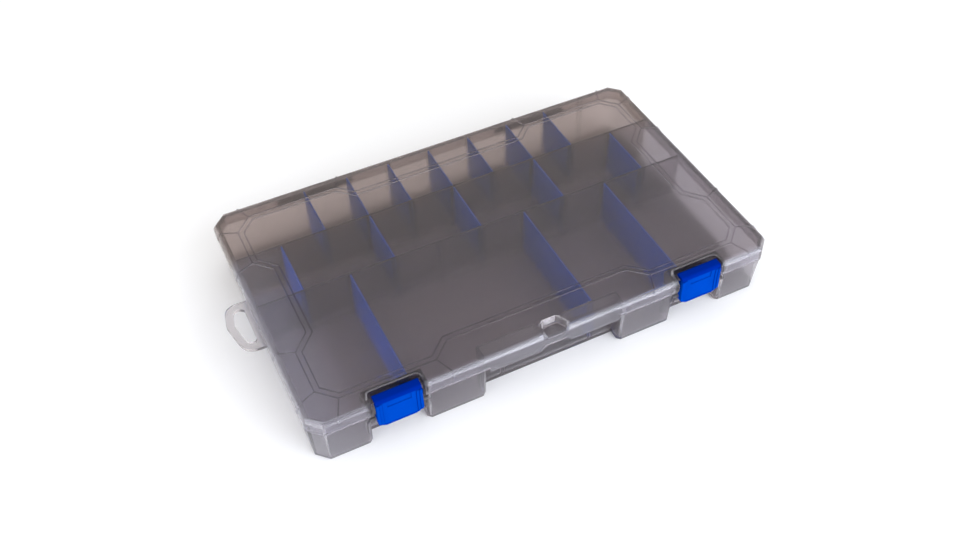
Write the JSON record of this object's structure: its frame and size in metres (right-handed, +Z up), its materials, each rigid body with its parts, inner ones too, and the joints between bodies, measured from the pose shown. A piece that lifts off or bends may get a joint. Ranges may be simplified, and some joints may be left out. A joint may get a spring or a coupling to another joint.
{
  "type": "fishing tackle box",
  "caption": "Flat translucent tackle box: hinged lid over a tray of three divider rows, two snap latches on the front and a hanging loop on the left side.",
  "frame": {"origin": "centre of the tray's flat underside", "axes": "+X to the right along the width, +Y to the hinges at the back, +Z up through the lid"},
  "size_m": [0.3768, 0.2253, 0.0445],
  "materials": {
    "tray_smoke": "smoke-grey translucent polypropylene, satin",
    "lid_smoke": "smoke-grey translucent polypropylene, satin top with brighter chamfers",
    "divider_blue": "translucent deep blue polypropylene",
    "latch_blue": "opaque bright blue plastic, satin gloss",
    "hinge_steel": "drawn wire"
  },
  "bodies": {
    "tray": {"tray": "tray_smoke", "divider_back_1": "divider_blue", "divider_back_2": "divider_blue", "divider_back_3": "divider_blue", "divider_back_4": "divider_blue", "divider_back_5": "divider_blue", "divider_back_6": "divider_blue", "divider_back_7": "divider_blue", "divider_middle_1": "divider_blue", "divider_middle_2": "divider_blue", "divider_middle_3": "divider_blue", "divider_middle_4": "divider_blue", "divider_middle_5": "divider_blue", "divider_front_1": "divider_blue", "divider_front_2": "divider_blue", "divider_front_3": "divider_blue", "hinge_rod_left": "hinge_steel", "hinge_rod_right": "hinge_steel"},
    "lid": {"lid": "lid_smoke"},
    "latch_left": {"latch_left": "latch_blue"},
    "latch_right": {"latch_right": "latch_blue"}
  },
  "joints": [
    {"name": "lid_hinge", "type": "hinge", "parent": "tray", "child": "lid", "pos_m": [0, 0.1125, 0.0313], "axis": [-1, 0, 0], "range_deg": [0, 110]},
    {"name": "latch_left_pivot", "type": "hinge", "parent": "tray", "child": "latch_left", "pos_m": [-0.1167, -0.106, 0.0255], "axis": [1, 0, 0], "range_deg": [0, 120]},
    {"name": "latch_right_pivot", "type": "hinge", "parent": "tray", "child": "latch_right", "pos_m": [0.1167, -0.106, 0.0255], "axis": [1, 0, 0], "range_deg": [0, 120]}
  ]
}
